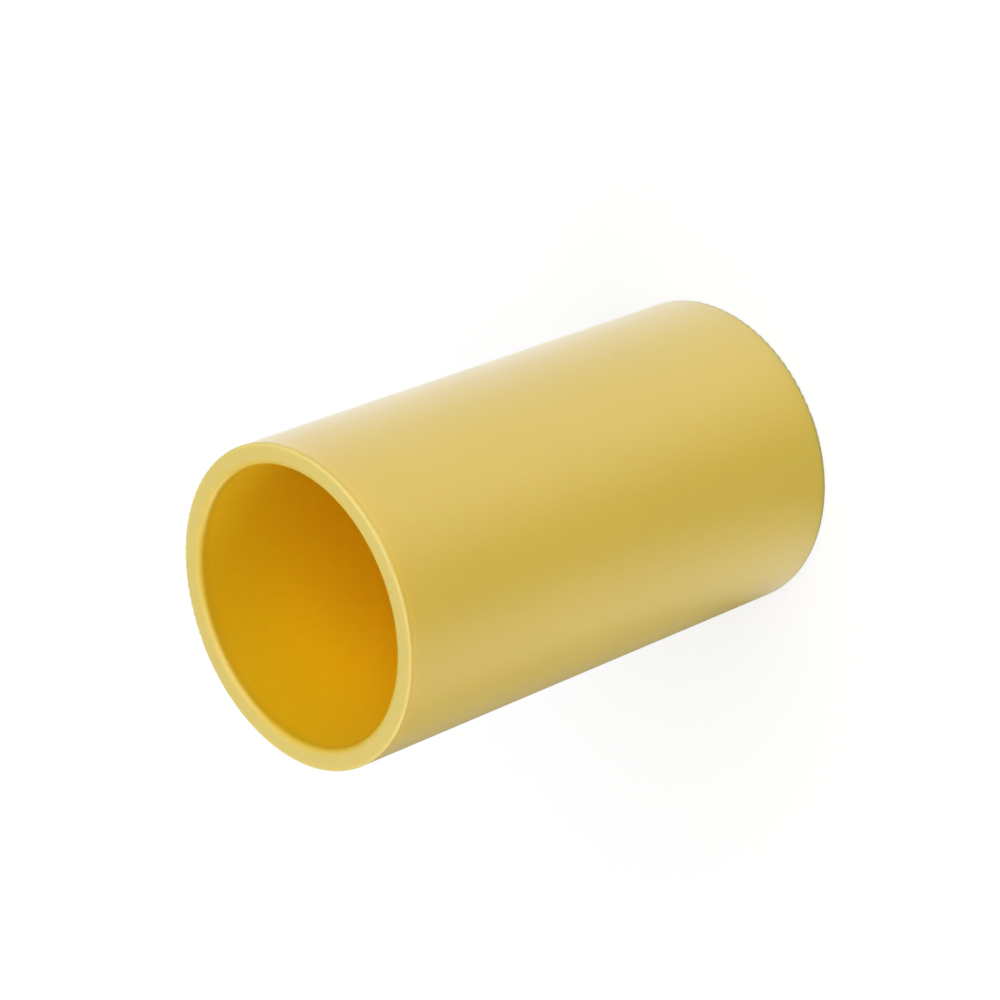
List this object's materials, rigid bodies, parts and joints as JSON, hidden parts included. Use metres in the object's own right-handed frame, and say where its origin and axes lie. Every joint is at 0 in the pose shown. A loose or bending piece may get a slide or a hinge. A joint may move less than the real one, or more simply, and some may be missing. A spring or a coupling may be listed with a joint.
{
  "type": "rigid conduit coupling",
  "caption": "Plain moulded sleeve with a smooth round outside, rounded rims and a socket at each end, which joins straight runs of rigid plastic electrical conduit end to end.",
  "frame": {"origin": "centre of the lower end face, in its plane", "axes": "+Z along the bore, from the lower socket to the upper one; the sleeve is the same all round, so X and Y are free"},
  "size_m": [0.0256, 0.0256, 0.0454],
  "materials": {
    "yellow_pvc": "satin"
  },
  "bodies": {
    "root": {"coupling_body": "yellow_pvc"}
  },
  "joints": []
}
